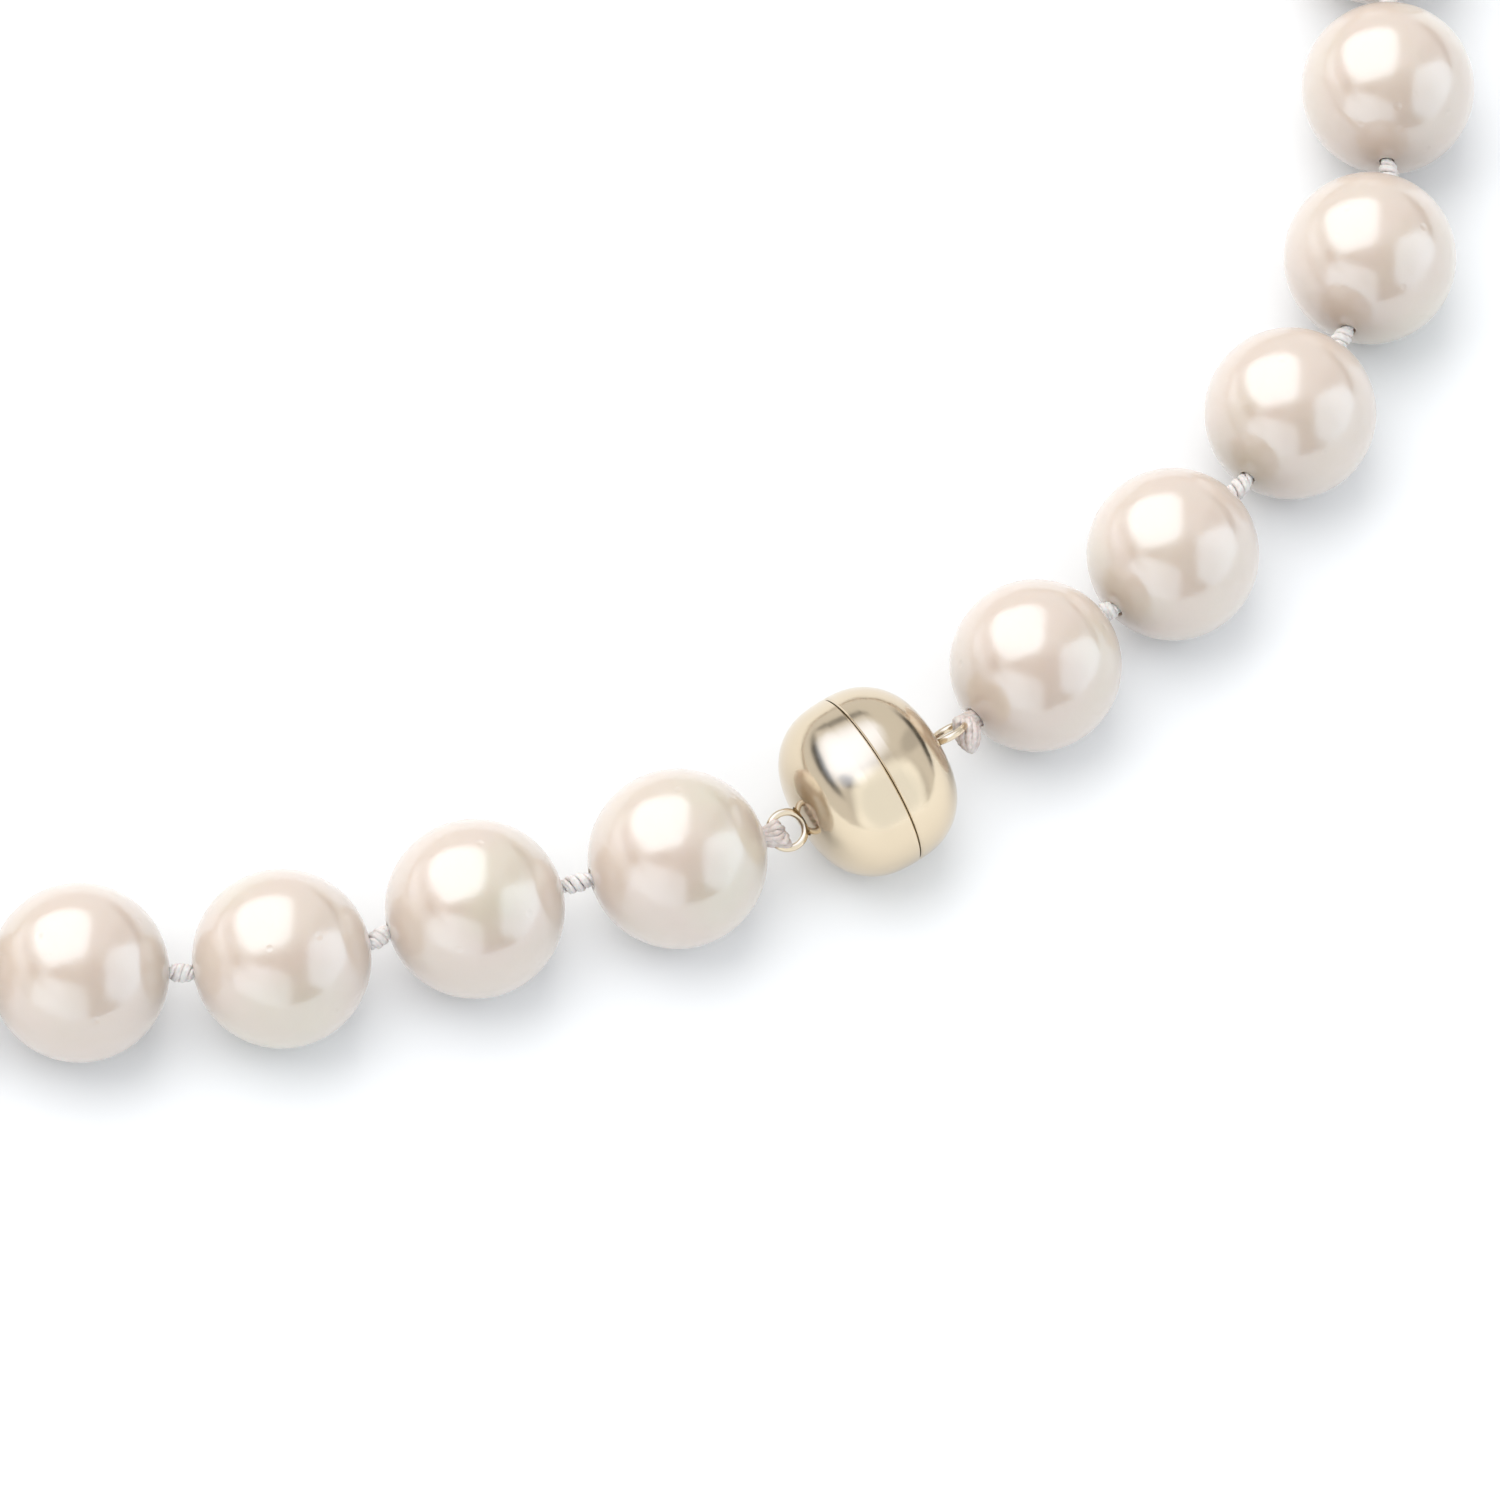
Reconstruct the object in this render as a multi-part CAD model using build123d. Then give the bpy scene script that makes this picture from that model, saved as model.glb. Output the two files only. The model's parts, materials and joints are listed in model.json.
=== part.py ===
from build123d import *
import math
import os

# A knotted strand of round pearls closed by a ball-shaped magnetic clasp, lying
# flat in a loop. Millimetres and degrees. +Z is up, the clasp lies at the front
# (-Y) and the pearls are counted from its left half, round the loop, to its right.

# ---- strand ------------------------------------------------------------------
pearl_count = 38
drill_diameter = 0.80             # hole through each pearl
reamed_diameter = 1.20            # wider hole through the first and the last pearl
thread_diameter = 0.55            # doubled silk inside the holes
knot_diameter = 1.10
knot_round = 0.12                 # rounding of a knot's two ends
knot_clearance = 0.04             # between a knot and the pearl beside it
thread_overrun = 0.35             # how far the thread runs past a pearl into the knot

# Pearls next to the clasp, from the clasp outwards: diameter, distance from the
# centre before it, and heading of that step seen from above.
left_run = [
    (9.80, 11.33, 204.3),
    (9.79, 11.40, 195.7),
    (9.75, 10.88, 196.4),
    (9.77, 10.97, 184.5),
]
right_run = [
    (9.43, 11.82, 39.1),
    (9.47, 10.27, 42.7),
    (9.47, 11.02, 53.7),
    (9.53, 10.82, 65.4),
    (9.57, 10.94, 84.0),
]
knot_gap = 1.28                   # between neighbouring pearls round the back
gap_ripple = 0.14                 # how much that gap varies along the strand
size_ripple = 0.07                # how much the pearl diameter varies
ripple_step = 140.0               # phase from one pearl to the next

# ---- clasp -------------------------------------------------------------------
clasp_diameter = 10.18
clasp_length = 8.60
clasp_heading = 32.4              # of its axis, from the left half to the right
clasp_rise = 4.5                  # the right end stands this much higher
belt_radius = 10.0                # the three arcs of the clasp's outline
shoulder_radius = 3.50
belt_angle = 5.5
seam_offset = 0.20                # the left half is this much longer than half
seam_gap = 0.05
seam_round = 0.08
shell_wall = 0.40
fit_gap = 0.03
cup_depth = 2.40
magnet_diameter = 6.20
magnet_thickness = 2.00

# ---- swivel eyes ---------------------------------------------------------------
eye_diameter = 2.40
wire_diameter = 0.42
eye_reach = 5.20                  # clasp centre to the middle of the eye
eye_recess_diameter = 1.80        # the end of each shell is sunk to take the eye's wire
eye_recess_depth = 0.38
boss_diameter = 3.00              # and thickened inside, where the stem turns
boss_depth = 1.00
stem_diameter = 0.60
stem_clearance = 0.04
head_diameter = 1.50
head_thickness = 0.35
head_clearance = 0.05
left_eye_roll = 25.0              # the eyes' planes, turned about the clasp axis
right_eye_roll = -52.0

# ---- silk loops through the eyes ------------------------------------------------
loop_radius = 0.43
loop_strand = 0.34
neck_diameter = 0.60
neck_depth = 1.50                 # how far the loop's neck runs into its pearl


# ---- layout of the loop --------------------------------------------------------
def step(point, length, heading):
    angle = math.radians(heading)
    return (point[0] + length * math.cos(angle), point[1] + length * math.sin(angle))


def walk_run(run):
    """Centres of the pearls of one run, starting from the clasp."""
    point = (0.0, 0.0)
    centres = []
    for diameter, length, heading in run:
        point = step(point, length, heading)
        centres.append(point)
    return centres


left_centres = walk_run(left_run)
right_centres = walk_run(right_run)
back_count = pearl_count - len(left_run) - len(right_run)


def ripple(index):
    return math.sin(math.radians(ripple_step * index))


def back_diameter(index):
    """The diameter blends from the left run's last pearl to the right run's."""
    share = (index + 1) / (back_count + 1)
    start = left_run[-1][0]
    end = right_run[-1][0]
    return start + (end - start) * share + size_ripple * ripple(index)


back_diameters = [back_diameter(i) for i in range(back_count)]
span_diameters = [left_run[-1][0]] + back_diameters + [right_run[-1][0]]
span_steps = [
    (span_diameters[i] + span_diameters[i + 1]) / 2 + knot_gap - gap_ripple * ripple(i + 1)
    for i in range(back_count + 1)
]

# The back of the loop turns by the same bend at each pearl, apart from two gentle
# waves whose sizes close the loop onto the right run.
first_heading = left_run[-1][2]
last_heading = right_run[-1][2] - 180.0
bend_count = back_count + 2
mean_bend = (first_heading - last_heading) / bend_count


def back_bend(index, wave_cos, wave_sin):
    phase = 2 * math.pi * (index + 0.5) / bend_count
    return mean_bend + wave_cos * math.cos(phase) + wave_sin * math.sin(phase)


def walk_back(wave_cos, wave_sin):
    point = left_centres[-1]
    heading = first_heading
    points = []
    for index, length in enumerate(span_steps):
        heading -= back_bend(index, wave_cos, wave_sin)
        point = step(point, length, heading)
        points.append(point)
    return points


def closing_error(wave_cos, wave_sin):
    end = walk_back(wave_cos, wave_sin)[-1]
    target = right_centres[-1]
    return (end[0] - target[0], end[1] - target[1])


def close_loop():
    """Newton's method on the two waves."""
    waves = [0.0, 0.0]
    nudge = 0.001
    for _ in range(20):
        error = closing_error(*waves)
        along_cos = closing_error(waves[0] + nudge, waves[1])
        along_sin = closing_error(waves[0], waves[1] + nudge)
        a = (along_cos[0] - error[0]) / nudge
        b = (along_sin[0] - error[0]) / nudge
        c = (along_cos[1] - error[1]) / nudge
        d = (along_sin[1] - error[1]) / nudge
        area = a * d - b * c
        waves[0] -= (d * error[0] - b * error[1]) / area
        waves[1] -= (a * error[1] - c * error[0]) / area
    return waves


wave_cos, wave_sin = close_loop()
back_centres = walk_back(wave_cos, wave_sin)[:-1]

diameters = [run[0] for run in left_run] + back_diameters + [run[0] for run in reversed(right_run)]
flat_centres = left_centres + back_centres + list(reversed(right_centres))

# The model's origin is under the middle of its box.
low_x = min(c[0] - d / 2 for c, d in zip(flat_centres, diameters))
high_x = max(c[0] + d / 2 for c, d in zip(flat_centres, diameters))
low_y = min(c[1] - d / 2 for c, d in zip(flat_centres, diameters))
high_y = max(c[1] + d / 2 for c, d in zip(flat_centres, diameters))
shift_x = -(low_x + high_x) / 2
shift_y = -(low_y + high_y) / 2
centres = [
    Vector(c[0] + shift_x, c[1] + shift_y, d / 2) for c, d in zip(flat_centres, diameters)
]


# ---- clasp outline -------------------------------------------------------------
class Outline:
    """Half of the clasp's oval outline, inset by a wall: three tangent arcs from the
    belt (on the Y axis) to the end (on the X axis)."""

    def __init__(self, inset):
        self.radius = clasp_diameter / 2 - inset
        self.reach = clasp_length / 2 - inset
        belt = belt_radius - inset
        shoulder = shoulder_radius - inset
        turn = math.radians(belt_angle)
        belt_centre = (0.0, self.radius - belt)
        middle_x = belt_centre[0] + (belt - shoulder) * math.sin(turn)
        middle_y = belt_centre[1] + (belt - shoulder) * math.cos(turn)
        rest = self.reach - middle_x
        end = (rest**2 + middle_y**2 - shoulder**2) / (2 * (rest - shoulder))
        slope = math.atan2(middle_y, middle_x - (self.reach - end))
        between = (math.pi / 2 - turn + slope) / 2

        def on_belt(angle):
            return (belt * math.sin(angle), belt_centre[1] + belt * math.cos(angle))

        def on_shoulder(angle):
            return (middle_x + shoulder * math.cos(angle), middle_y + shoulder * math.sin(angle))

        def on_end(angle):
            return (self.reach - end + end * math.cos(angle), end * math.sin(angle))

        self.points = [
            (0.0, self.radius),
            on_belt(turn / 2),
            on_belt(turn),
            on_shoulder(between),
            on_end(slope),
            on_end(slope / 2),
            (self.reach, 0.0),
        ]


def half_outline(points, side):
    """The three arcs of an outline on one side of the belt."""
    ends = [(side * x, y) for x, y in points]
    return [
        ThreePointArc(ends[0], ends[1], ends[2]),
        ThreePointArc(ends[2], ends[3], ends[4]),
        ThreePointArc(ends[4], ends[5], ends[6]),
    ]


def barrel(inset):
    """The whole solid of the clasp's outline, inset by a wall, about the X axis."""
    outline = Outline(inset)
    base = Line((-outline.reach, 0), (outline.reach, 0))
    face = make_face(half_outline(outline.points, -1) + half_outline(outline.points, 1) + [base])
    return revolve(face, axis=Axis.X)


def along_x(radius, low, high):
    """A cylinder about the X axis between two places on it."""
    return Pos((low + high) / 2, 0, 0) * Rot(0, 90, 0) * Cylinder(radius, high - low)


half_block = 4 * clasp_length


def side_block(side, face_x):
    """All the space on one side of a plane across the X axis."""
    return Pos(face_x + side * half_block / 2, 0, 0) * Box(half_block, half_block, half_block)


def clasp_half(side):
    """Shell, magnet cup and magnet of one half; side is -1 on the left, 1 on the right."""
    face_x = seam_offset + side * seam_gap / 2
    keep = side_block(side, face_x)
    shell = (barrel(0.0) - barrel(shell_wall)) & keep
    rims = shell.edges().group_by(Axis.X)[0 if side > 0 else -1]
    shell = chamfer(rims.sort_by(SortBy.LENGTH)[-1], seam_round)
    end_x = clasp_length / 2
    boss = along_x(boss_diameter / 2, *sorted((side * (end_x - boss_depth), side * end_x)))
    shell += boss & barrel(shell_wall / 2)
    recess = sorted((side * (end_x - eye_recess_depth), side * clasp_length))
    shell -= along_x(eye_recess_diameter / 2, *recess)
    shell -= along_x(stem_diameter / 2 + stem_clearance, *sorted((0.0, side * clasp_length)))
    cup_slab = along_x(clasp_diameter, *sorted((face_x, face_x + side * cup_depth)))
    cup = barrel(shell_wall + fit_gap) & cup_slab
    pocket_end = face_x + side * (magnet_thickness + fit_gap)
    cup -= along_x(magnet_diameter / 2 + fit_gap, *sorted((face_x, pocket_end)))
    magnet = along_x(magnet_diameter / 2, *sorted((face_x, face_x + side * magnet_thickness)))
    return shell, cup, magnet


def swivel_eye(side, roll):
    """A round wire eye on a stem that turns in the shell's end hole, with a head inside."""
    eye_radius = (eye_diameter - wire_diameter) / 2
    eye = Pos(side * eye_reach, 0, 0) * Torus(eye_radius, wire_diameter / 2)
    head_outer = clasp_length / 2 - boss_depth - head_clearance
    stem_end = eye_reach - eye_radius
    stem = along_x(stem_diameter / 2, *sorted((side * head_outer, side * stem_end)))
    head_span = sorted((side * head_outer, side * (head_outer - head_thickness)))
    head = along_x(head_diameter / 2, *head_span)
    return Rot(roll, 0, 0) * (eye + stem + head)


# ---- where the clasp lies --------------------------------------------------------
rise = math.radians(clasp_rise)
turn = math.radians(clasp_heading)
clasp_axis = Vector(
    math.cos(rise) * math.cos(turn), math.cos(rise) * math.sin(turn), math.sin(rise)
)
barrel_tilted = Rot(0, -clasp_rise, 0) * barrel(0.0)
clasp_height = -barrel_tilted.bounding_box().min.Z
clasp_centre = Vector(shift_x, shift_y, clasp_height)
clasp_place = Pos(*clasp_centre) * Rot(0, 0, clasp_heading) * Rot(0, -clasp_rise, 0)

# The silk pulls on the far side of each eye's wire.
pull = eye_reach + (eye_diameter - wire_diameter) / 2
left_pull = clasp_centre - clasp_axis * pull
right_pull = clasp_centre + clasp_axis * pull


ends = [left_pull] + centres + [right_pull]


def flat(vector):
    return Vector(vector.X, vector.Y, 0).normalized()


def drill_direction(index):
    """Each pearl is drilled level, halfway between the ways to its two neighbours."""
    before, here, after = ends[index : index + 3]
    return (flat(here - before) + flat(after - here)).normalized()


def mouth(index, side):
    """Where the thread leaves a pearl, towards the clasp's left half (-1) or its right (1)."""
    return centres[index] + drill_direction(index) * (side * diameters[index] / 2)


knots = [(mouth(i, 1) + mouth(i + 1, -1)) / 2 for i in range(pearl_count - 1)]


def heading_of(direction):
    return math.degrees(math.atan2(direction.Y, direction.X))


def pearl(index):
    is_end = index in (0, pearl_count - 1)
    hole = reamed_diameter if is_end else drill_diameter
    drilled = Sphere(diameters[index] / 2) - along_x(hole / 2, -diameters[index], diameters[index])
    return Pos(*centres[index]) * Rot(0, 0, heading_of(drill_direction(index))) * drilled


def rod(start, end, diameter):
    """A round rod between two points."""
    between = end - start
    return Plane(start, z_dir=between).location * Pos(0, 0, between.length / 2) * Cylinder(
        diameter / 2, between.length
    )


def thread_run(index):
    """The stretch of thread inside one pearl, running on into the knots beside it."""
    way = drill_direction(index)
    reach = diameters[index] / 2
    back = reach + thread_overrun
    front = reach + thread_overrun
    if index == 0:
        back = reach - neck_depth
    if index == pearl_count - 1:
        front = reach - neck_depth
    return rod(centres[index] - way * back, centres[index] + way * front, thread_diameter)


def knot(index):
    """The knot between one pearl and the next."""
    between = centres[index + 1] - centres[index]
    gap = between.length - (diameters[index] + diameters[index + 1]) / 2
    bead = Cylinder(knot_diameter / 2, gap - 2 * knot_clearance)
    bead = fillet(bead.edges().filter_by(GeomType.CIRCLE), knot_round)
    return Pos(*knots[index]) * Rot(0, 0, heading_of(between)) * Rot(0, 90, 0) * bead


def silk_thread():
    """The doubled thread through all the pearls with a knot in every gap between them."""
    runs = [thread_run(index) for index in range(pearl_count)]
    beads = [knot(index) for index in range(pearl_count - 1)]
    return runs[0] + (runs[1:] + beads)


def end_loop(side, index, roll):
    """The silk loop round the eye's wire, and its neck in the hole of the pearl beside it."""
    loop = Rot(roll, 0, 0) * Pos(side * pull, 0, 0) * Rot(90, 0, 0) * Torus(loop_radius, loop_strand / 2)
    start = left_pull if side < 0 else right_pull
    opening = mouth(index, side)
    inner_end = opening - drill_direction(index) * (side * neck_depth)
    towards = (opening - start).normalized()
    neck = rod(start + towards * loop_radius, opening, neck_diameter)
    inner = rod(opening, inner_end, neck_diameter)
    joint = Pos(*opening) * Sphere(neck_diameter / 2)
    return clasp_place * loop + neck + joint + inner


# ---- all sub-parts ---------------------------------------------------------------
def build():
    parts = {}
    for index in range(pearl_count):
        parts[f"pearl_{index + 1:02d}"] = pearl(index)
    parts["silk_thread"] = silk_thread()
    parts["end_loop_left"] = end_loop(-1, 0, left_eye_roll)
    parts["end_loop_right"] = end_loop(1, pearl_count - 1, right_eye_roll)
    for name, side, roll in (("left", -1, left_eye_roll), ("right", 1, right_eye_roll)):
        shell, cup, magnet = clasp_half(side)
        parts[f"clasp_shell_{name}"] = clasp_place * shell
        parts[f"magnet_cup_{name}"] = clasp_place * cup
        parts[f"magnet_{name}"] = clasp_place * magnet
        parts[f"swivel_eye_{name}"] = clasp_place * swivel_eye(side, roll)
    return parts


os.makedirs("parts", exist_ok=True)
for name, shape in build().items():
    export_step(shape, os.path.join("parts", f"{name}.step"))
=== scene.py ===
import json
import math
import random

import bpy
import numpy as np
from mathutils import Matrix, Vector


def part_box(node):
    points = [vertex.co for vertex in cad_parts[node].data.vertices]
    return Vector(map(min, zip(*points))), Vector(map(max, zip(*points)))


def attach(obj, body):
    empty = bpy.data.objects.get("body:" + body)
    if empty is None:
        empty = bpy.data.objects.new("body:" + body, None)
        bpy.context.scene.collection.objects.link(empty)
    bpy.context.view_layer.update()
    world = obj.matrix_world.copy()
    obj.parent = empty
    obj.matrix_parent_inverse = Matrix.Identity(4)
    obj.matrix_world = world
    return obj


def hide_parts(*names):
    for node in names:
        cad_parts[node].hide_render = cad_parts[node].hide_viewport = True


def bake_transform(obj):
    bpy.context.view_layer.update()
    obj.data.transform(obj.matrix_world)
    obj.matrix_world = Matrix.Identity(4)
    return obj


# A knotted strand of round pearls with a ball-shaped magnetic clasp, lying on a pale floor.
# Everything is in metres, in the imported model's frame.

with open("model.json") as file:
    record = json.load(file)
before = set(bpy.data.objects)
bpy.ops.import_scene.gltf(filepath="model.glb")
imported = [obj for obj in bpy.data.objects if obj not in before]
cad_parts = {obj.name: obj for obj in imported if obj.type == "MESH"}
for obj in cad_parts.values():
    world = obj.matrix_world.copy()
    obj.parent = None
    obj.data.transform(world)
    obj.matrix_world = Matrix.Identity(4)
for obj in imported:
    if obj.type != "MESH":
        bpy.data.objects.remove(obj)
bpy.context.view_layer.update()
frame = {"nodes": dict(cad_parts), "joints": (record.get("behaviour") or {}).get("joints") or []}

MM = 0.001
SEED = 20

# ---- driving dimensions ----------------------------------------------------------
DRILL_RADIUS = 0.40 * MM
REAMED_RADIUS = 0.60 * MM           # the first and the last pearl
MOUTH_ROUND = 0.10 * MM             # rounding of each hole's edge
MOUTH_FADE = 0.40 * MM              # the marks on a pearl die away this near to a hole
PEARL_AROUND = 128                  # points round a pearl
OUTSIDE_STEPS = 80                  # points along its half section, outside
LIP_STEPS = 4                       # on each rounded edge
BORE_STEPS = 8                      # and inside the hole

STRAND_RADIUS = 0.165 * MM          # one of the two silk strands inside the holes
STRAND_SIDES = 18
STRAND_PLIES = 3
PLY_DEPTH = 0.10                    # of the grooves between the plies, as a share
PLY_PITCH = 0.90 * MM
CORE_OFFSET = 0.15 * MM             # of each strand from the hole's axis
CORE_PITCH = 2.40 * MM              # of the two strands round each other
WRAP_OFFSET = 0.375 * MM            # of the strands that wrap the knot
WRAP_TURNS = 1.6
WRAP_OVERRUN = 0.35 * MM            # how far the wraps run into each hole
WRAP_STARTS = (0.5, 1.35, 0.5 + math.pi, 1.35 + math.pi)
KNOT_OVERRUN = 0.30 * MM            # the closely stepped part runs this far into each hole
KNOT_LEAD = 0.12                    # the wraps swell this far before the gap, in shares of it,
KNOT_RISE = 0.45                    # and are fully swollen this much further on
KNOT_STEPS = 40
HOLE_STEPS = 10

EYE_WIRE_RADIUS = 0.21 * MM
EYE_RADIUS = 0.99 * MM              # to the middle of the eye's wire
EYE_REACH = 5.20 * MM               # clasp centre to the middle of the eye
LEFT_EYE_ROLL = math.radians(25.0)
RIGHT_EYE_ROLL = math.radians(-52.0)
LOOP_STRAND_RADIUS = 0.19 * MM
LEFT_FAN = math.radians(60.0)       # how far the end loops spread along the eye's wire
RIGHT_FAN = math.radians(16.0)
LOOP_LAYER = (-1.0, -0.6, -0.2, 0.2, 0.6, 1.0)      # shares of that spread
OUTER_LAYER = (-0.7, -0.23, 0.23, 0.7)              # on the left loop only
LOOP_RING = 0.37 * MM               # of the loop's strands round the end pearl's hole
OUTER_RING = 0.14 * MM
LOOP_SPREAD = math.radians(80.0)    # how far round that hole they reach
LOOP_DEPTHS = (1.2 * MM, 0.1 * MM)  # places of the strands inside that hole
LOOP_SEAT = 0.95                    # from the wire to a strand's middle, in strand radii
LAYER_STEP = 1.6                    # from one layer to the next, in strand radii
HOOK_START = 0.12                   # of the half turn round the wire
HOOK_STEPS = 14
LOOP_POINTS = 90

TAIL_LENGTH = 1.75 * MM             # the tuft of silk at the right eye
TAIL_RADIUS = 0.74 * MM
TAIL_STRANDS = 11
TAIL_STRAND_RADIUS = 1.25 * STRAND_RADIUS
TAIL_TWIST = 1.1
TAIL_NECK = 0.16                    # where on its half wave the tuft's swell begins
TAIL_STEPS = 24
TAIL_WAY = Vector((0.28, -0.80, -0.56)).normalized()
TAIL_START = Vector((0.0, 0.25, 0.05)) * MM


# ---- places, read from the frame ---------------------------------------------------
joints = {joint["name"]: joint for joint in frame["joints"]}
pearl_names = sorted(name for name in frame["nodes"] if name.startswith("pearl_"))
PEARL_COUNT = len(pearl_names)


def pearl_place(name):
    """Centre and radius of a pearl."""
    low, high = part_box(name)
    return (low + high) / 2, (high.z - low.z) / 2


pearl_places = [pearl_place(name) for name in pearl_names]
centres = [place[0] for place in pearl_places]
radii = [place[1] for place in pearl_places]
clasp_centre = Vector(joints["clasp_left_turn"]["pos_m"])
clasp_axis = Vector(joints["clasp_left_turn"]["axis"]).normalized()
left_pull = Vector(joints["eye_left_swing"]["pos_m"])
right_pull = Vector(joints["eye_right_swing"]["pos_m"])
route = [left_pull] + centres + [right_pull]


def level(vector):
    return Vector((vector.x, vector.y, 0.0)).normalized()


def drill_direction(index):
    """Each pearl is drilled level, halfway between the ways to its two neighbours."""
    before, here, after = route[index : index + 3]
    return (level(here - before) + level(after - here)).normalized()


drills = [drill_direction(index) for index in range(PEARL_COUNT)]


def mouth(index, side):
    """Where the thread leaves a pearl, towards the clasp's left half (-1) or its right (1)."""
    return centres[index] + drills[index] * (side * radii[index])


def body_of_pearl(index):
    return f"bead_{index + 1:02d}"


# ---- camera ------------------------------------------------------------------------
CAMERA_OFFSET = Vector((-6.4, -580.3, 1055.5)) * MM
AIM_OFFSET = Vector((-6.4, 4.8, 0.0)) * MM
SENSOR = 36.0
LENS = 530.0


def make_camera():
    data = bpy.data.cameras.new("camera")
    data.sensor_width = SENSOR
    data.lens = LENS
    data.clip_start = 0.05
    data.clip_end = 50.0
    camera = bpy.data.objects.new("camera", data)
    bpy.context.scene.collection.objects.link(camera)
    foot = Vector((clasp_centre.x, clasp_centre.y, 0.0))
    camera.location = foot + CAMERA_OFFSET
    aim = foot + AIM_OFFSET
    camera.rotation_mode = "QUATERNION"
    camera.rotation_quaternion = (aim - camera.location).to_track_quat("-Z", "Y")
    bpy.context.scene.camera = camera


# ---- light and floor -----------------------------------------------------------------
ROOM_RADIANCE = 0.92                # relative to a white floor
FLOOR_HALF = 3.0
FLOOR_DROP = 0.02 * MM              # keeps the floor just clear of the pearls


def bearing(right_of_front, elevation):
    """A direction, in degrees to the right of -Y and above the floor."""
    turn = math.radians(right_of_front)
    rise = math.radians(elevation)
    return Vector(
        (math.sin(turn) * math.cos(rise), -math.cos(turn) * math.cos(rise), math.sin(rise))
    )


def facing(towards, along):
    """Rotation whose Z points at a direction and whose X lies as near as it can to another."""
    z = Vector(towards).normalized()
    x = Vector(along)
    x = (x - z * x.dot(z)).normalized()
    return Matrix((x, z.cross(x), z)).transposed()


def soften(data, sharp_share):
    """Fades a panel's light towards its edges, from the given share of its half size."""
    data.use_nodes = True
    tree = data.node_tree
    place = tree.nodes.new("ShaderNodeNewGeometry").outputs["Parametric"]
    across = tree.nodes.new("ShaderNodeVectorMath")
    across.operation = "MULTIPLY_ADD"
    tree.links.new(place, across.inputs[0])
    across.inputs[1].default_value = (2, 2, 0)
    across.inputs[2].default_value = (-1, -1, 0)
    squared = tree.nodes.new("ShaderNodeVectorMath")
    squared.operation = "MULTIPLY"
    tree.links.new(across.outputs[0], squared.inputs[0])
    tree.links.new(across.outputs[0], squared.inputs[1])
    away = tree.nodes.new("ShaderNodeVectorMath")
    away.operation = "LENGTH"
    tree.links.new(squared.outputs[0], away.inputs[0])
    fade = tree.nodes.new("ShaderNodeMapRange")
    fade.interpolation_type = "SMOOTHSTEP"
    fade.inputs["From Min"].default_value = 1.0
    fade.inputs["From Max"].default_value = sharp_share**2
    tree.links.new(away.outputs["Value"], fade.inputs["Value"])
    tree.links.new(fade.outputs["Result"], tree.nodes["Emission"].inputs["Strength"])


# each panel's way from the clasp, distance, width and height in metres, radiance, the share of
# its half size that is sharp, its colour and the pieces it lights
PANELS = {
    "key_softbox": ((-0.354, 0.375, 0.856), 0.90, 1.30, 1.62, 2.12, 0.72,
                    (1.0, 1.0, 1.0), ("pearls", "silk", "floor")),
    "right_panel": (bearing(76, 19), 0.80, 1.22, 1.14, 1.45, 0.72,
                    (0.82, 0.91, 1.0), ("pearls", "floor")),
    "left_panel": (bearing(-26, 19), 0.80, 1.28, 0.95, 1.15, 0.72,
                   (0.88, 0.94, 1.0), ("pearls", "floor")),
    "front_panel": (bearing(30, 33), 0.80, 1.90, 1.90, 1.10, 0.45,
                    (0.88, 0.94, 1.0), ("clasp", "silk", "floor")),
    "rim_panel": (bearing(-108, 18), 0.80, 0.60, 0.90, 0.75, 0.30,
                  (0.97, 0.97, 1.0), ("pearls",)),
    "clasp_panel": (bearing(-112, 64), 0.80, 1.50, 1.55, 1.15, 0.05,
                    (0.66, 0.84, 1.30), ("clasp",)),
}


def softbox(name, direction, distance, width, height, radiance, sharp_share, colour, receivers):
    """A flat panel that shines at the clasp, upright to the camera, for some of the pieces."""
    data = bpy.data.lights.new(name, "AREA")
    data.shape = "RECTANGLE"
    data.size = width
    data.size_y = height
    data.energy = radiance * math.pi * width * height
    data.color = colour
    soften(data, sharp_share)
    light = bpy.data.objects.new(name, data)
    bpy.context.scene.collection.objects.link(light)
    towards = Vector(direction).normalized()
    light.location = clasp_centre + towards * distance
    light.rotation_mode = "QUATERNION"
    light.rotation_quaternion = facing(towards, (1, 0, 0)).to_quaternion()
    light.visible_camera = False
    group = bpy.data.collections.new(name + "_receivers")
    for piece in receivers:
        group.objects.link(piece)
    light.light_linking.receiver_collection = group


# unlit parts of the studio: two ends as (bearing, elevation), half width and end reach in
# degrees, and how much of the room's light is missing
DARK_BANDS = [
    ((25, 33), (35, 33), 66, 62, 0.78),     # behind the front panels
    ((-58, 44), (8, 60), 11, 6, 0.70),
    ((100, 56), (141, -4), 11, 6, 0.28),
    ((-140, 6), (-30, 26), 9, 8, 0.88),     # rim of the key softbox
    ((-135, 10), (-176, 32), 6, 5, 0.62),
    ((104, 1), (156, 5), 11, 7, 0.90),      # open end of the room
]


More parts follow.
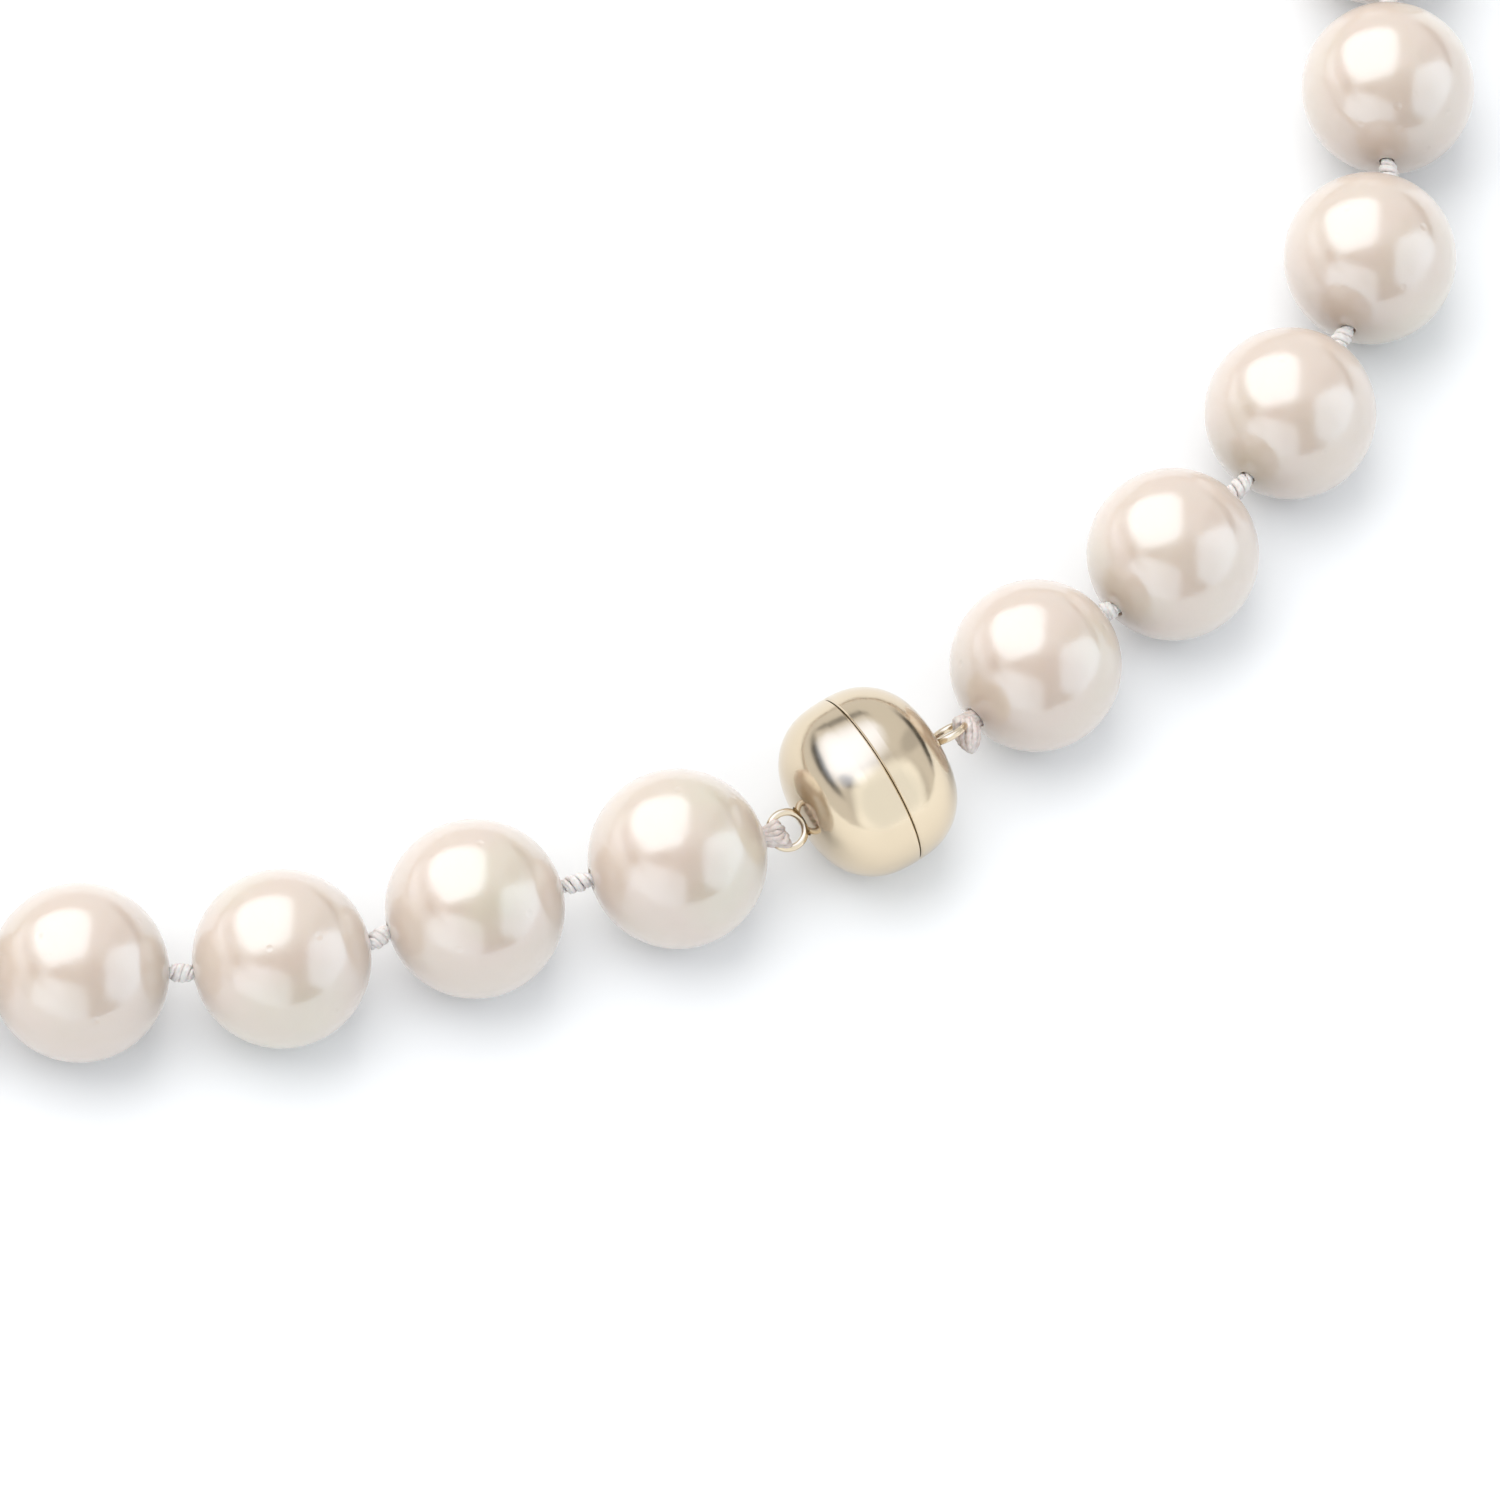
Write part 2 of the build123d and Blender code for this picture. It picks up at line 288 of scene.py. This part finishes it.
def dark_band(tree, direction, first, last, half_width, reach, depth):
    """From 0 to depth inside a long ellipse on the sky."""
    ends = bearing(*first), bearing(*last)
    middle = (ends[0] + ends[1]).normalized()
    turned = facing(middle, ends[1] - ends[0])
    inside = tree.nodes.new("ShaderNodeMapping")
    inside.vector_type = "TEXTURE"
    inside.inputs["Location"].default_value = middle
    inside.inputs["Rotation"].default_value = turned.to_euler()
    half_length = ends[0].angle(ends[1]) / 2 + math.radians(reach)
    inside.inputs["Scale"].default_value = (
        math.sin(half_length), math.sin(math.radians(half_width)), 1.0
    )
    tree.links.new(direction, inside.inputs["Vector"])
    away = tree.nodes.new("ShaderNodeVectorMath")
    away.operation = "LENGTH"
    tree.links.new(inside.outputs["Vector"], away.inputs[0])
    fade = tree.nodes.new("ShaderNodeMapRange")
    fade.interpolation_type = "SMOOTHSTEP"
    fade.inputs["From Min"].default_value = 1.1
    fade.inputs["From Max"].default_value = 0.45
    fade.inputs["To Max"].default_value = depth
    tree.links.new(away.outputs["Value"], fade.inputs["Value"])
    return fade.outputs["Result"]


def make_world():
    """A bright white room with its unlit parts."""
    world = bpy.data.worlds.new("studio")
    world.use_nodes = True
    tree = world.node_tree
    direction = tree.nodes.new("ShaderNodeTexCoord").outputs["Generated"]
    darkest = None
    for band in DARK_BANDS:
        shade = dark_band(tree, direction, *band)
        if darkest is not None:
            larger = tree.nodes.new("ShaderNodeMath")
            larger.operation = "MAXIMUM"
            tree.links.new(darkest, larger.inputs[0])
            tree.links.new(shade, larger.inputs[1])
            shade = larger.outputs[0]
        darkest = shade
    strength = tree.nodes.new("ShaderNodeMapRange")
    strength.inputs["To Min"].default_value = ROOM_RADIANCE
    strength.inputs["To Max"].default_value = 0.0
    tree.links.new(darkest, strength.inputs["Value"])
    background = tree.nodes["Background"]
    background.inputs["Color"].default_value = (0.98, 0.99, 1.0, 1.0)
    tree.links.new(strength.outputs["Result"], background.inputs["Strength"])
    bpy.context.scene.world = world


def make_lights(groups):
    """The panels, each for its own groups of pieces."""
    for name, (*settings, lit) in PANELS.items():
        softbox(name, *settings, [piece for group in lit for piece in groups[group]])


def make_floor():
    mesh = bpy.data.meshes.new("floor")
    corners = [(x * FLOOR_HALF, y * FLOOR_HALF, 0)
               for x, y in ((-1, -1), (1, -1), (1, 1), (-1, 1))]
    mesh.from_pydata(corners, [], [(0, 1, 2, 3)])
    floor = bpy.data.objects.new("floor", mesh)
    bpy.context.scene.collection.objects.link(floor)
    floor.location.z = -FLOOR_DROP
    mesh.materials.append(floor_material())
    return floor


# ---- material helpers ------------------------------------------------------------------
class Shader:
    """A node material built step by step."""

    def __init__(self, name):
        self.material = bpy.data.materials.new(name)
        self.material.use_nodes = True
        self.tree = self.material.node_tree
        self.principled = self.tree.nodes["Principled BSDF"]

    def add(self, kind, **settings):
        node = self.tree.nodes.new(kind)
        for key, value in settings.items():
            setattr(node, key, value)
        return node

    def link(self, source, target):
        self.tree.links.new(source, target)

    def set(self, **values):
        """Constant values on the surface shader, with _ for each space in a socket's name."""
        for key, value in values.items():
            self.principled.inputs[key.replace("_", " ")].default_value = value

    def coordinates(self):
        return self.add("ShaderNodeTexCoord").outputs["Object"]

    def noise(self, scale, detail=2.0, rough=0.5, warp=0.0):
        node = self.add("ShaderNodeTexNoise")
        node.inputs["Scale"].default_value = scale
        node.inputs["Detail"].default_value = detail
        node.inputs["Roughness"].default_value = rough
        node.inputs["Distortion"].default_value = warp
        self.link(self.coordinates(), node.inputs["Vector"])
        return node.outputs["Fac"]

    def pits(self, scale, width):
        """Small round dents, one in each cell; the width is a share of the cell."""
        node = self.add("ShaderNodeTexVoronoi")
        node.inputs["Scale"].default_value = scale
        self.link(self.coordinates(), node.inputs["Vector"])
        return self.spread(node.outputs["Distance"], 0.0, width, 0.0, 1.0)

    def ramp(self, source, stops):
        """A colour ramp; stops are (place, colour)."""
        node = self.add("ShaderNodeValToRGB")
        elements = node.color_ramp.elements
        while len(elements) < len(stops):
            elements.new(0.5)
        for element, (place, colour) in zip(elements, stops):
            element.position = place
            element.color = (*colour, 1.0)
        self.link(source, node.inputs["Fac"])
        return node.outputs["Color"]

    def mix(self, share, first, second):
        node = self.add("ShaderNodeMix", data_type="RGBA")
        for socket, value in ((node.inputs["Factor"], share), (node.inputs[6], first),
                              (node.inputs[7], second)):
            if isinstance(value, bpy.types.NodeSocket):
                self.link(value, socket)
            elif isinstance(value, tuple):
                socket.default_value = (*value, 1.0)
            else:
                socket.default_value = value
        return node.outputs[2]

    def spread(self, source, low, high, to_low, to_high):
        """Maps a value's range onto another, clamped."""
        node = self.add("ShaderNodeMapRange")
        for key, value in (("From Min", low), ("From Max", high), ("To Min", to_low),
                           ("To Max", to_high)):
            node.inputs[key].default_value = value
        self.link(source, node.inputs["Value"])
        return node.outputs["Result"]

    def bump(self, height, distance, before=None):
        node = self.add("ShaderNodeBump")
        node.inputs["Strength"].default_value = 1.0
        node.inputs["Distance"].default_value = distance
        self.link(height, node.inputs["Height"])
        if before is not None:
            self.link(before, node.inputs["Normal"])
        return node.outputs["Normal"]

    def finish(self, colour=None, roughness=None, normal=None):
        for socket, source in (("Base Color", colour), ("Roughness", roughness),
                               ("Normal", normal)):
            if source is not None:
                self.link(source, self.principled.inputs[socket])
        return self.material


def floor_material():
    shader = Shader("pale_floor")
    shader.set(Base_Color=(0.69, 0.69, 0.69, 1.0), Roughness=0.6, Specular_IOR_Level=0.2)
    return shader.finish()


def pearl_material():
    """Nacre: a cream body under a bright soft lustre, with faint clouds and orange peel."""
    shader = Shader("nacre")
    body = shader.ramp(
        shader.noise(110.0, 1.0),
        [(0.30, (0.55, 0.455, 0.37)), (0.50, (0.55, 0.44, 0.36)), (0.70, (0.535, 0.465, 0.36))],
    )
    cloud = shader.spread(shader.noise(420.0, 3.0, 0.55, 0.6), 0.35, 0.75, 0.0, 0.35)
    colour = shader.mix(cloud, body, (0.57, 0.45, 0.385))
    roughness = shader.spread(shader.noise(900.0, 3.0), 0.3, 0.7, 0.17, 0.25)
    swell = shader.bump(shader.noise(260.0, 1.0), 0.10 * MM)
    peel = shader.bump(shader.noise(1500.0, 3.0, 0.6), 0.010 * MM, swell)
    pits = shader.bump(shader.pits(420.0, 0.11), 0.03 * MM, peel)
    shader.set(
        IOR=1.70, Specular_IOR_Level=0.95, Specular_Tint=(0.78, 0.92, 1.0, 1.0),
        Coat_Weight=0.6, Coat_Roughness=0.12, Coat_IOR=1.6,
        Sheen_Weight=0.22, Sheen_Roughness=0.5, Sheen_Tint=(1.0, 0.97, 0.94, 1.0),
        Subsurface_Weight=0.35, Subsurface_Scale=1.5 * MM,
    )
    shader.principled.inputs["Subsurface Radius"].default_value = (1.0, 0.8, 0.6)
    return shader.finish(colour, roughness, pits)


def silk_material(name, painted_hollow_shade, filaments):
    """Silk in two tones, with the fine filaments of each strand; the darker tone, mixed in at
    random by noise, is painted shade of the hollows between filaments.
    """
    shader = Shader(name)
    tint = shader.spread(shader.noise(2500.0, 3.0), 0.3, 0.7, 0.0, 1.0)
    # the darker tone is painted shade of the hollows between filaments, spread at random by noise
    colour = shader.mix(tint, painted_hollow_shade, filaments)
    fibres = shader.bump(shader.noise(6000.0, 4.0, 0.7), 0.02 * MM)
    shader.set(Roughness=0.6, Specular_IOR_Level=0.3,
               Subsurface_Weight=0.15, Subsurface_Scale=0.2 * MM)
    return shader.finish(colour, None, fibres)


def gold_material():
    """Pale yellow gold, polished, with faint polishing marks."""
    shader = Shader("polished_gold")
    tint = shader.noise(300.0, 2.0)
    colour = shader.mix(tint, (0.665, 0.555, 0.405), (0.69, 0.58, 0.43))
    roughness = shader.spread(shader.noise(1800.0, 5.0, 0.7), 0.35, 0.75, 0.13, 0.19)
    swell = shader.bump(shader.noise(350.0, 2.0), 0.012 * MM)
    shader.set(Metallic=1.0)
    return shader.finish(colour, roughness, swell)


def steel_material():
    shader = Shader("turned_steel")
    colour = shader.mix(shader.noise(900.0, 2.0), (0.50, 0.50, 0.50), (0.60, 0.60, 0.61))
    roughness = shader.spread(shader.noise(2500.0, 4.0), 0.3, 0.7, 0.25, 0.40)
    shader.set(Metallic=1.0)
    return shader.finish(colour, roughness, None)


def nickel_material():
    shader = Shader("nickel_plate")
    colour = shader.mix(shader.noise(700.0, 2.0), (0.66, 0.65, 0.64), (0.73, 0.72, 0.71))
    roughness = shader.spread(shader.noise(3500.0, 4.0), 0.3, 0.7, 0.14, 0.26)
    shader.set(Metallic=1.0)
    return shader.finish(colour, roughness, None)


# ---- mesh helpers -----------------------------------------------------------------------
def grid_faces(rows, columns, close_rows):
    """Quads over a grid whose columns close on themselves, and its rows if asked."""
    faces = []
    for row in range(rows if close_rows else rows - 1):
        below = row * columns
        above = (row + 1) % rows * columns
        for column in range(columns):
            after = (column + 1) % columns
            faces.append((below + column, below + after, above + after, above + column))
    return faces


def make_piece(name, points, faces, material):
    mesh = bpy.data.meshes.new(name)
    mesh.from_pydata([tuple(point) for point in points], [], faces)
    mesh.update()
    mesh.shade_smooth()
    mesh.materials.append(material)
    piece = bpy.data.objects.new(name, mesh)
    bpy.context.scene.collection.objects.link(piece)
    return piece


# ---- pearls -------------------------------------------------------------------------------
def pearl_profile(radius, bore):
    """Half section of a drilled pearl about its drill axis: (along, out) from the front mouth
    over the outside to the back mouth, then back through the bore."""
    shoulder = math.asin((bore + MOUTH_ROUND) / radius)
    points = []
    for i in range(OUTSIDE_STEPS):
        angle = shoulder + (math.pi - 2 * shoulder) * i / (OUTSIDE_STEPS - 1)
        points.append((radius * math.cos(angle), radius * math.sin(angle)))
    edge = radius * math.cos(shoulder)
    for i in range(1, LIP_STEPS + 1):
        angle = math.pi / 2 * i / LIP_STEPS
        points.append((-edge + MOUTH_ROUND * (1 - math.cos(angle)),
                       bore + MOUTH_ROUND * (1 - math.sin(angle))))
    reach = edge - MOUTH_ROUND
    for i in range(1, BORE_STEPS + 1):
        points.append((-reach + 2 * reach * i / (BORE_STEPS + 1), bore))
    for i in range(LIP_STEPS, 0, -1):
        angle = math.pi / 2 * i / LIP_STEPS
        points.append((edge - MOUTH_ROUND * (1 - math.cos(angle)),
                       bore + MOUTH_ROUND * (1 - math.sin(angle))))
    return np.array(points)


def surface_marks(draw, directions):
    """Share of the radius lost to out-of-roundness, growth rings and small pits, per direction."""
    loss = np.zeros(len(directions))
    # a little out of round
    for _ in range(3):
        axis = np.array([draw.gauss(0, 1) for _ in range(3)])
        axis /= np.linalg.norm(axis)
        loss += draw.uniform(0.0005, 0.0016) * (directions @ axis) ** 2
    # growth rings about the drill axis
    for _ in range(draw.randint(1, 3)):
        height = draw.uniform(-0.8, 0.8)
        width = draw.uniform(0.012, 0.03)
        depth = draw.uniform(0.0004, 0.0012)
        lean = directions[:, 0] + 0.03 * np.sin(3 * directions[:, 1] + draw.uniform(0, 6))
        loss += depth * np.exp(-(((lean - height) / width) ** 2))
    # wide shallow pits, and a few bumps
    for _ in range(draw.randint(10, 22)):
        place = np.array([draw.gauss(0, 1) for _ in range(3)])
        place /= np.linalg.norm(place)
        width = draw.uniform(0.035, 0.09)
        depth = draw.uniform(0.0008, 0.0035) * draw.choice((1.0, 1.0, -0.4))
        away = np.linalg.norm(directions - place, axis=1)
        loss += depth * np.exp(-((away / width) ** 2))
    return loss


def make_pearl(index, material, faces):
    draw = random.Random(SEED + index)
    bore = REAMED_RADIUS if index in (0, PEARL_COUNT - 1) else DRILL_RADIUS
    profile = pearl_profile(radii[index], bore)
    turns = np.linspace(0, 2 * math.pi, PEARL_AROUND, endpoint=False)
    along = np.repeat(profile[:, 0], PEARL_AROUND)
    out = np.repeat(profile[:, 1], PEARL_AROUND)
    turn = np.tile(turns, len(profile))
    local = np.stack([along, out * np.cos(turn), out * np.sin(turn)], axis=1)
    distance = np.linalg.norm(local, axis=1)
    outside = np.clip((distance / radii[index] - 0.9) / 0.08, 0, 1)
    mouth_fade = np.clip((out - bore - MOUTH_ROUND) / MOUTH_FADE, 0, 1)
    loss = surface_marks(draw, local / distance[:, None]) * outside * mouth_fade
    local *= (1 - loss)[:, None]
    way = np.array(drills[index])
    side = np.array((-way[1], way[0], 0.0))
    frame_axes = np.stack([way, side, np.array((0.0, 0.0, 1.0))])
    points = local @ frame_axes + np.array(centres[index])
    piece = make_piece(f"nacre_{index + 1:02d}", points, faces, material)
    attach(piece, body_of_pearl(index))
    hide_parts(pearl_names[index])
    return piece


# ---- silk ----------------------------------------------------------------------------------
def tube(points, radius, phase):
    """Points and faces of a closed tube along a line of points, with the lay of its plies."""
    line = np.array([tuple(point) for point in points])
    ways = np.gradient(line, axis=0)
    ways /= np.linalg.norm(ways, axis=1)[:, None]
    lengths = np.concatenate([[0], np.cumsum(np.linalg.norm(np.diff(line, axis=0), axis=1))])
    normal = np.cross(ways[0], (0.0, 0.0, 1.0))
    if np.linalg.norm(normal) < 0.1:
        normal = np.cross(ways[0], (0.0, 1.0, 0.0))
    rings = []
    for place, way, length in zip(line, ways, lengths):
        normal = normal - way * (normal @ way)
        normal /= np.linalg.norm(normal)
        other = np.cross(way, normal)
        for i in range(STRAND_SIDES):
            angle = 2 * math.pi * i / STRAND_SIDES
            lay = STRAND_PLIES * (angle - 2 * math.pi * length / PLY_PITCH) + phase
            reach = radius * (1 - PLY_DEPTH * (1 - math.cos(lay)))
            rings.append(place + (normal * math.cos(angle) + other * math.sin(angle)) * reach)
    faces = grid_faces(len(line), STRAND_SIDES, False)
    last = (len(line) - 1) * STRAND_SIDES
    faces.append(tuple(range(STRAND_SIDES - 1, -1, -1)))
    faces.append(tuple(range(last, last + STRAND_SIDES)))
    return rings, faces


def join(parts):
    """Several lots of points and faces as one."""
    points = []
    faces = []
    for part_points, part_faces in parts:
        start = len(points)
        points.extend(part_points)
        faces.extend(tuple(start + corner for corner in face) for face in part_faces)
    return points, faces


def smooth(share):
    """From 0 to 1 with a gentle start and end."""
    share = min(max(share, 0.0), 1.0)
    return share * share * (3 - 2 * share)


def thread_line(first, second):
    """The thread's corners, from the middle of one pearl through both mouths to the middle of
    the next, and the lengths between them."""
    start, end = centres[first], centres[second]
    out, back = mouth(first, 1), mouth(second, -1)
    corners = [start, out, back, end]
    spans = [(b - a).length for a, b in zip(corners, corners[1:])]
    return corners, spans


def make_knot(index, material):
    """The doubled thread between the middles of two neighbouring pearls, knotted between."""
    draw = random.Random(SEED * 7 + index)
    corners, spans = thread_line(index, index + 1)
    total = sum(spans)
    gap_start, gap_end = spans[0], spans[0] + spans[1]
    gap = spans[1]
    near, far = gap_start - KNOT_OVERRUN, gap_end + KNOT_OVERRUN
    places = list(np.linspace(0, near, HOLE_STEPS, endpoint=False))
    places += list(np.linspace(near, far, KNOT_STEPS, endpoint=False))
    places += list(np.linspace(far, total, HOLE_STEPS))
    hand = draw.choice((-1, 1))
    start_turn = draw.uniform(0, 2 * math.pi)
    parts = []
    middle_way = (corners[2] - corners[1]).normalized()
    side = middle_way.cross(Vector((0, 0, 1))).normalized()
    up = side.cross(middle_way)

    def on_axis(place):
        if place < gap_start:
            return corners[0].lerp(corners[1], place / spans[0])
        if place < gap_end:
            return corners[1].lerp(corners[2], (place - gap_start) / gap)
        return corners[2].lerp(corners[3], (place - gap_end) / spans[2])

    strands = [(0.0, False), (math.pi, False)]
    strands += [(turn, True) for turn in WRAP_STARTS]
    for turn, wrap in strands:
        line = []
        for place in places:
            if wrap and not gap_start - WRAP_OVERRUN < place < gap_end + WRAP_OVERRUN:
                continue
            share = (place - gap_start) / gap
            bulge = smooth((share + KNOT_LEAD) / KNOT_RISE)
            bulge *= smooth((1 + KNOT_LEAD - share) / KNOT_RISE)
            twist = 2 * math.pi * place / CORE_PITCH
            offset = CORE_OFFSET
            angle = turn + twist
            if wrap:
                offset = CORE_OFFSET + (WRAP_OFFSET - CORE_OFFSET) * bulge
                angle = turn + start_turn + hand * 2 * math.pi * WRAP_TURNS * share
            shift = side * math.cos(angle) + up * math.sin(angle)
            line.append(on_axis(place) + shift * offset)
        parts.append(tube(line, STRAND_RADIUS, draw.uniform(0, 6)))
    piece = make_piece(f"silk_knot_{index + 1:02d}", *join(parts), material)
    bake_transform(piece)
    return piece


def rotate_about(vector, axis, angle):
    """Rodrigues' rotation."""
    return (vector * math.cos(angle) + axis.cross(vector) * math.sin(angle)
            + axis * axis.dot(vector) * (1 - math.cos(angle)))


def eye_axes(side, roll):
    """The eye's centre, the way from the clasp, its wire's way at the far side and its face."""
    across = Vector((0, 0, 1)).cross(clasp_axis).normalized()
    face = clasp_axis.cross(across).normalized()
    face = rotate_about(face, clasp_axis, roll)
    away = clasp_axis * side
    wire = face.cross(away).normalized()
    return clasp_centre + away * EYE_REACH, away, wire, face


def make_end_loop(name, side, index, roll, fan, material):
    """Silk strands from inside the end pearl, round the far side of the eye's wire and back,
    in two layers that fan out along the wire."""
    draw = random.Random(SEED * 11 + index)
    centre, away, wire, face = eye_axes(side, roll)
    opening = mouth(index, side)
    inward = -drills[index] * side
    thick = LOOP_STRAND_RADIUS
    inner = EYE_WIRE_RADIUS + thick * LOOP_SEAT
    loops = [(share, inner, LOOP_RING) for share in LOOP_LAYER]
    if side < 0:
        loops += [(share, inner + thick * LAYER_STEP, OUTER_RING) for share in OUTER_LAYER]
    parts = []
    for share, reach, ring in loops:
        radial = away * math.cos(fan * share) + wire * math.sin(fan * share)
        hook = centre + radial * EYE_RADIUS
        reach *= 1.0 + draw.uniform(-0.05, 0.05)
        spot = LOOP_SPREAD * share
        across = wire * (ring * math.sin(spot))
        lift = face * (ring * math.cos(spot))
        depths = (radii[index], *LOOP_DEPTHS)
        line = [opening + inward * depth + across + lift for depth in depths]
        for i in range(HOOK_STEPS + 1):
            angle = math.pi * (HOOK_START + (1 - 2 * HOOK_START) * i / HOOK_STEPS)
            line.append(hook + (face * math.cos(angle) - radial * math.sin(angle)) * reach)
        line += [opening + inward * depth + across - lift for depth in reversed(depths)]
        parts.append(tube(resample(line, LOOP_POINTS), thick, draw.uniform(0, 6)))
    piece = make_piece(name, *join(parts), material)
    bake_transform(piece)
    return piece


def make_tail(place, way, material):
    """The knotted ends of the silk, a small tuft that hangs beside the last eye."""
    draw = random.Random(SEED * 13)
    across = way.cross(Vector((1, 0, 0))).normalized()
    other = way.cross(across)
    parts = []
    for i in range(TAIL_STRANDS):
        turn = 2 * math.pi * i / (TAIL_STRANDS - 1) + draw.uniform(-0.08, 0.08)
        reach = 0 if i == 0 else TAIL_RADIUS - STRAND_RADIUS
        line = []
        for step in range(TAIL_STEPS + 1):
            share = step / TAIL_STEPS
            swell = math.sin(math.pi * min(1.0, TAIL_NECK + share * (1 - TAIL_NECK))) ** 0.75
            angle = turn + TAIL_TWIST * share
            shift = across * math.cos(angle) + other * math.sin(angle)
            line.append(place + way * (TAIL_LENGTH * share) + shift * (reach * swell))
        parts.append(tube(line, TAIL_STRAND_RADIUS, draw.uniform(0, 6)))
    return make_piece("silk_tail", *join(parts), material)


def resample(points, count):
    """A smooth line through some points (Catmull-Rom), as evenly spaced points."""
    line = [Vector(point) for point in points]
    line = [line[0] * 2 - line[1]] + line + [line[-1] * 2 - line[-2]]
    dense = []
    for a, b, c, d in zip(line, line[1:], line[2:], line[3:]):
        for i in range(12):
            t = i / 12
            dense.append(
                0.5 * ((2 * b) + (c - a) * t + (2 * a - 5 * b + 4 * c - d) * t * t
                       + (3 * b - a - 3 * c + d) * t**3)
            )
    dense.append(line[-2])
    array = np.array([tuple(point) for point in dense])
    lengths = np.concatenate([[0], np.cumsum(np.linalg.norm(np.diff(array, axis=0), axis=1))])
    wanted = np.linspace(0, lengths[-1], count)
    return [Vector([np.interp(w, lengths, array[:, k]) for k in range(3)]) for w in wanted]


# ---- build ------------------------------------------------------------------------------------
def dress(node, material):
    """Gives a CAD node its finish."""
    mesh = frame["nodes"][node].data
    mesh.materials.clear()
    mesh.materials.append(material)


def build():
    make_camera()
    make_world()
    floor = make_floor()
    nacre = pearl_material()
    # each silk's first colour is painted shade of the hollows between its filaments
    silk = silk_material("white_silk", (0.60, 0.555, 0.535), (0.74, 0.705, 0.685))
    # darker, warmer silk for the end loops and the tuft: painted shade, warmed by a painted
    # reflection of the gold
    painted_shade_silk = silk_material("painted_shade_silk", (0.49, 0.415, 0.375), (0.67, 0.60, 0.57))
    gold = gold_material()
    steel = steel_material()
    nickel = nickel_material()
    rows = len(pearl_profile(radii[0], DRILL_RADIUS))
    pearl_faces = grid_faces(rows, PEARL_AROUND, True)
    pearls = [make_pearl(index, nacre, pearl_faces) for index in range(PEARL_COUNT)]
    knots = [make_knot(index, silk) for index in range(PEARL_COUNT - 1)]
    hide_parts("silk_thread")
    silk_pieces = list(knots)
    ends = (("left", -1, 0, LEFT_EYE_ROLL, LEFT_FAN),
            ("right", 1, PEARL_COUNT - 1, RIGHT_EYE_ROLL, RIGHT_FAN))
    for name, side, index, roll, fan in ends:
        loop = make_end_loop(f"silk_loop_{name}", side, index, roll, fan, painted_shade_silk)
        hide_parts(f"end_loop_{name}")
        silk_pieces.append(loop)
        dress(f"clasp_shell_{name}", gold)
        dress(f"swivel_eye_{name}", gold)
        dress(f"magnet_cup_{name}", steel)
        dress(f"magnet_{name}", nickel)
    tail = make_tail(right_pull + TAIL_START, TAIL_WAY, painted_shade_silk)
    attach(tail, "eye_right")
    silk_pieces.append(tail)
    clasp_parts = [part for name, part in frame["nodes"].items()
                   if name.startswith(("clasp_shell", "swivel_eye", "magnet"))]
    make_lights({"pearls": pearls, "silk": silk_pieces, "clasp": clasp_parts, "floor": [floor]})


build()
bpy.context.scene.view_settings.view_transform = "Standard"
